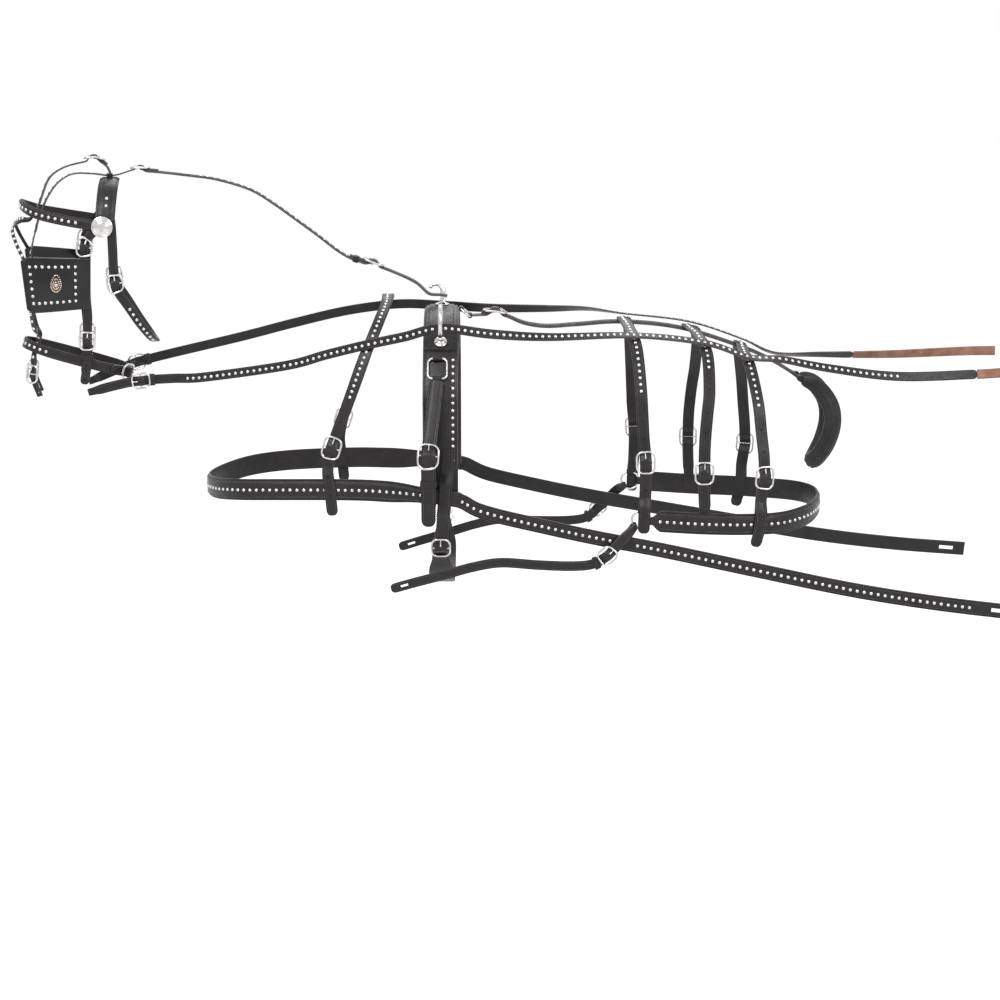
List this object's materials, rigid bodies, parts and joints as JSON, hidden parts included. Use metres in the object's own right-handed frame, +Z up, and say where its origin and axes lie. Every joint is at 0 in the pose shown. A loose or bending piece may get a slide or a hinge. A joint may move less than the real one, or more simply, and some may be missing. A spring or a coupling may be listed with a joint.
{
  "type": "horse driving harness",
  "caption": "Single driving harness in black leather with nickel buckles: saddle, girth, breast collar, traces, breeching, crupper, bridle with blinkers, check rein and reins.",
  "frame": {"origin": "middle of the back under the saddle, on the underside of its pad", "axes": "+X toward the tail, -Y the near (left) side, +Z up"},
  "size_m": [1.7799, 0.5342, 0.7867],
  "materials": {
    "black_leather": "semi-matt bridle leather with a waxed surface",
    "patent_leather": "glossy patent leather",
    "padded_leather": "soft matt leather over padding",
    "brown_leather": "matt brown leather",
    "nickel": "bright polished nickel"
  },
  "bodies": {
    "harness": {"back_strap": "black_leather", "back_strap_chape": "black_leather", "bit_carrier_far": "black_leather", "bit_carrier_near": "black_leather", "blinker_far": "patent_leather", "blinker_near": "patent_leather", "breast_collar": "black_leather", "breeching": "black_leather", "browband": "black_leather", "check_hook": "nickel", "check_rein": "black_leather", "check_rein_end": "black_leather", "cheekpiece_far": "black_leather", "cheekpiece_near": "black_leather", "crownpiece": "black_leather", "girth": "black_leather", "girth_billet_far": "black_leather", "girth_billet_near": "black_leather", "hip_strap_front": "black_leather", "hip_strap_middle": "black_leather", "hip_strap_rear": "black_leather", "neck_strap": "black_leather", "noseband": "black_leather", "overcheck": "black_leather", "rear_dee": "nickel", "rein_far": "black_leather", "rein_handpart_far": "brown_leather", "rein_handpart_near": "brown_leather", "rein_near": "black_leather", "ring_chape_far": "black_leather", "ring_chape_near": "black_leather", "rosette_far": "nickel", "rosette_near": "nickel", "saddle_panel": "padded_leather", "saddle_seat": "black_leather", "saddle_skirt": "black_leather", "terret_far": "nickel", "terret_near": "nickel", "throatlatch": "black_leather", "trace_far": "black_leather", "trace_near": "black_leather", "winker_stay": "black_leather"},
    "dee_near": {"shaft_dee_near": "nickel"},
    "tug_near": {"tug_strap_near": "black_leather", "shaft_loop_near": "black_leather", "tug_buckle_near": "nickel"},
    "keeper_near": {"tug_keeper_near": "black_leather"},
    "ring_near": {"breeching_ring_near": "nickel"},
    "holdback_near": {"holdback_near": "black_leather"},
    "dee_far": {"shaft_dee_far": "nickel"},
    "tug_far": {"tug_strap_far": "black_leather", "shaft_loop_far": "black_leather", "tug_buckle_far": "nickel"},
    "keeper_far": {"tug_keeper_far": "black_leather"},
    "ring_far": {"breeching_ring_far": "nickel"},
    "holdback_far": {"holdback_far": "black_leather"},
    "crupper": {"crupper_dock": "padded_leather"}
  },
  "joints": [
    {"name": "dee_near_swing", "type": "hinge", "parent": "harness", "child": "dee_near", "pos_m": [-0.005, -0.14343, -0.0598], "axis": [-1, 0, 0], "range_deg": [0, 60]},
    {"name": "tug_near_swing", "type": "hinge", "parent": "dee_near", "child": "tug_near", "pos_m": [-0.005, -0.16524, -0.09163], "axis": [-1, 0, 0], "range_deg": [0, 40]},
    {"name": "keeper_near_slide", "type": "slide", "parent": "tug_near", "child": "keeper_near", "axis": [0, -0.0089, -1], "range_m": [-0.006, 0.006]},
    {"name": "ring_near_turn", "type": "hinge", "parent": "harness", "child": "ring_near", "pos_m": [0.35086, -0.1917, -0.338], "axis": [-0.0236, -0.9997, 0], "continuous": true},
    {"name": "holdback_near_swing", "type": "hinge", "parent": "harness", "child": "holdback_near", "pos_m": [0.35086, -0.1917, -0.338], "axis": [-0.0236, -0.9997, 0], "range_deg": [0, 12]},
    {"name": "dee_far_swing", "type": "hinge", "parent": "harness", "child": "dee_far", "pos_m": [-0.005, 0.14343, -0.0598], "axis": [1, 0, 0], "range_deg": [0, 60]},
    {"name": "tug_far_swing", "type": "hinge", "parent": "dee_far", "child": "tug_far", "pos_m": [-0.005, 0.16524, -0.09163], "axis": [1, 0, 0], "range_deg": [0, 40]},
    {"name": "keeper_far_slide", "type": "slide", "parent": "tug_far", "child": "keeper_far", "axis": [0, 0.0089, -1], "range_m": [-0.006, 0.006]},
    {"name": "ring_far_turn", "type": "hinge", "parent": "harness", "child": "ring_far", "pos_m": [0.35086, 0.1917, -0.338], "axis": [-0.0236, 0.9997, 0], "continuous": true},
    {"name": "holdback_far_swing", "type": "hinge", "parent": "harness", "child": "holdback_far", "pos_m": [0.35086, 0.1917, -0.338], "axis": [0.0236, -0.9997, 0], "range_deg": [0, 12]},
    {"name": "crupper_swing", "type": "hinge", "parent": "harness", "child": "crupper", "pos_m": [0.64227, 0, -0.11071], "axis": [0, 1, 0], "range_deg": [-15, 15]}
  ]
}
